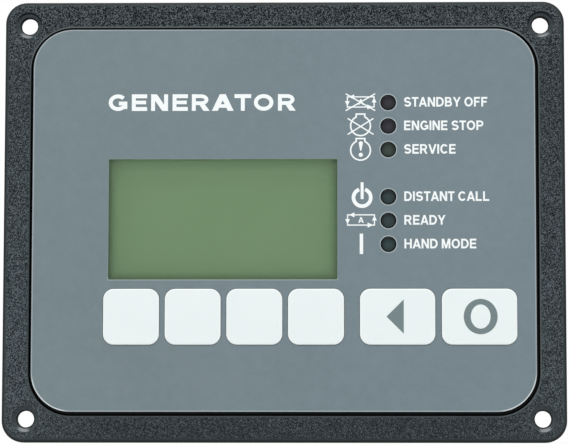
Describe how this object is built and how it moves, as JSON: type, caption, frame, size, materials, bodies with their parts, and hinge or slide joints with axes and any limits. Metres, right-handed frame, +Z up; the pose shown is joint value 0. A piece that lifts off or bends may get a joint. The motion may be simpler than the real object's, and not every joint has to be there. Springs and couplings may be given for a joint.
{
  "type": "genset controller",
  "caption": "Flange-mounted generator controller panel with push keys, a green display, indicator lamps and a sealed rear housing with sockets.",
  "frame": {"origin": "centre of the four mounting holes, on the rear face of the flange", "axes": "+X to the operator's right, +Y into the cabinet (the face looks along -Y), +Z up"},
  "size_m": [0.197, 0.0326, 0.1552],
  "materials": {
    "bezel_plastic": "grained black moulding with smooth rounded edges",
    "overlay_film": "fine satin grey film, printed from behind",
    "window_pane": "clear acrylic",
    "display_glass": "green reflective display",
    "key_plastic": "white satin keycap",
    "lens_red": "dark lens with a red tint",
    "lens_amber": "dark lens with an amber tint",
    "lens_green": "dark lens with a green tint",
    "foam": "closed-cell foam",
    "seal_rubber": "moulded seal",
    "housing_plastic": "grained black moulding",
    "socket_plastic": "moulded socket",
    "pin_metal": "tinned brass pins",
    "screw_steel": "zinc plated",
    "display_frame_steel": "folded sheet",
    "light_guide": "clear light guide with a white rear",
    "board_laminate": "green solder mask",
    "header_plastic": "moulded strip",
    "chip_body": "moulded package",
    "crystal_can": "drawn can",
    "coil_ferrite": "shielded coil",
    "capacitor_sleeve": "sleeved can",
    "led_red": "tinted epoxy",
    "led_amber": "tinted epoxy",
    "led_green": "tinted epoxy",
    "switch_body": "moulded switch body",
    "switch_plunger": "moulded plunger"
  },
  "bodies": {
    "panel": {"front_bezel": "bezel_plastic", "graphic_overlay": "overlay_film", "display_window": "window_pane", "lcd_gasket": "foam", "lcd_frame": "display_frame_steel", "lcd_glass": "display_glass", "lcd_backlight": "light_guide", "lcd_board": "board_laminate", "lcd_header": "header_plastic", "main_board": "board_laminate", "processor": "chip_body", "output_driver": "chip_body", "crystal": "crystal_can", "power_coil": "coil_ferrite", "harness_socket": "socket_plastic", "harness_pins": "pin_metal", "remote_socket": "socket_plastic", "remote_pins": "pin_metal", "rear_housing": "housing_plastic", "housing_seal": "seal_rubber", "panel_gasket": "foam", "housing_screws": "screw_steel", "board_screws": "screw_steel", "display_screws": "screw_steel", "indicator_lens_1": "lens_red", "indicator_lens_2": "lens_red", "indicator_lens_3": "lens_amber", "indicator_lens_4": "lens_green", "indicator_lens_5": "lens_green", "indicator_lens_6": "lens_green", "led_1": "led_red", "led_2": "led_red", "led_3": "led_amber", "led_4": "led_green", "led_5": "led_green", "led_6": "led_green", "key_switch_1": "switch_body", "key_switch_2": "switch_body", "key_switch_3": "switch_body", "key_switch_4": "switch_body", "key_switch_5": "switch_body", "key_switch_6": "switch_body", "filter_capacitor_1": "capacitor_sleeve", "filter_capacitor_2": "capacitor_sleeve"},
    "soft_key_1_body": {"soft_key_1": "key_plastic", "switch_plunger_1": "switch_plunger"},
    "soft_key_2_body": {"soft_key_2": "key_plastic", "switch_plunger_2": "switch_plunger"},
    "soft_key_3_body": {"soft_key_3": "key_plastic", "switch_plunger_3": "switch_plunger"},
    "soft_key_4_body": {"soft_key_4": "key_plastic", "switch_plunger_4": "switch_plunger"},
    "back_key_body": {"back_key": "key_plastic", "switch_plunger_5": "switch_plunger"},
    "off_key_body": {"off_key": "key_plastic", "switch_plunger_6": "switch_plunger"}
  },
  "joints": [
    {"name": "soft_key_1_press", "type": "slide", "parent": "panel", "child": "soft_key_1_body", "axis": [0, 1, 0], "range_m": [0, 0.0005], "stiffness_N_per_m": 2000},
    {"name": "soft_key_2_press", "type": "slide", "parent": "panel", "child": "soft_key_2_body", "axis": [0, 1, 0], "range_m": [0, 0.0005], "stiffness_N_per_m": 2000},
    {"name": "soft_key_3_press", "type": "slide", "parent": "panel", "child": "soft_key_3_body", "axis": [0, 1, 0], "range_m": [0, 0.0005], "stiffness_N_per_m": 2000},
    {"name": "soft_key_4_press", "type": "slide", "parent": "panel", "child": "soft_key_4_body", "axis": [0, 1, 0], "range_m": [0, 0.0005], "stiffness_N_per_m": 2000},
    {"name": "back_key_press", "type": "slide", "parent": "panel", "child": "back_key_body", "axis": [0, 1, 0], "range_m": [0, 0.0005], "stiffness_N_per_m": 2000},
    {"name": "off_key_press", "type": "slide", "parent": "panel", "child": "off_key_body", "axis": [0, 1, 0], "range_m": [0, 0.0005], "stiffness_N_per_m": 2000}
  ]
}
